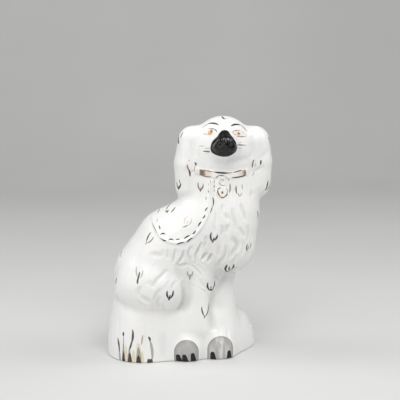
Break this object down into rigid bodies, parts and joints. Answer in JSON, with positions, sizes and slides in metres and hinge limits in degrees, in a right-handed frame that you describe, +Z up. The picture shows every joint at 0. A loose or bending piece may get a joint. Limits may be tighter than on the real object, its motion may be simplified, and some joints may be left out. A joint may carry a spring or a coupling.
{
  "type": "dog statue",
  "caption": "Seated long-eared spaniel figure with a flat back, moulded fur, collar, locket and chain, on a low base that is part of the casting.",
  "frame": {"origin": "on the shelf, under the middle of the figure's bounding box", "axes": "+Z up, +X to the viewer's right (the way the chest points), -Y towards the viewer (the way the face looks), +Y the flat back"},
  "size_m": [0.2047, 0.0952, 0.2937],
  "materials": {
    "glazed_earthenware": "glossy clear glaze over a white body, with painted black, grey and gold lustre marks"
  },
  "bodies": {
    "root": {"dog_figure": "glazed_earthenware"}
  },
  "joints": []
}
